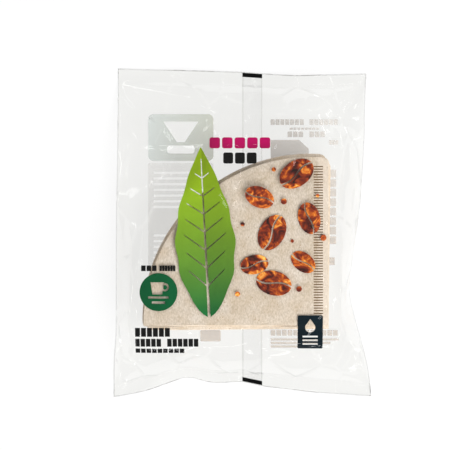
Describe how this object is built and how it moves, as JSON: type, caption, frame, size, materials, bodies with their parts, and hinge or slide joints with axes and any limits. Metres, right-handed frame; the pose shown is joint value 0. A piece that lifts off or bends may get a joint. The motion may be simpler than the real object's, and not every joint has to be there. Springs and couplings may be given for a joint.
{
  "type": "pack of paper coffee filters",
  "caption": "Sealed clear film bag of folded unbleached cone coffee filters with a crimped seam, lying on its back.",
  "frame": {"origin": "on the ground below the middle of the bag, on the plane that the back film and its fin rest on", "axes": "+Y up the printed front towards the bag's top edge, +Z out of the printed front, +X to the right of the front"},
  "size_m": [0.188, 0.2397, 0.032],
  "materials": {
    "film": "gloss",
    "unbleached_paper": "matte",
    "ink_green": "satin",
    "ink_brown": "satin",
    "ink_magenta": "satin",
    "ink_dark_green": "satin",
    "ink_black": "satin",
    "ink_teal": "satin",
    "ink_grey_green": "satin",
    "ink_grey_brown": "satin"
  },
  "bodies": {
    "root": {"film_bag": "film", "top_filter": "unbleached_paper", "filter_stack": "unbleached_paper", "back_filter": "unbleached_paper", "leaf_print": "ink_green", "bean_print": "ink_brown", "title_print": "ink_magenta", "badge_print": "ink_dark_green", "caption_print": "ink_black", "label_print": "ink_teal", "back_panel_print": "ink_grey_green", "back_text_print": "ink_grey_brown", "eye_marks": "ink_black"}
  },
  "joints": []
}
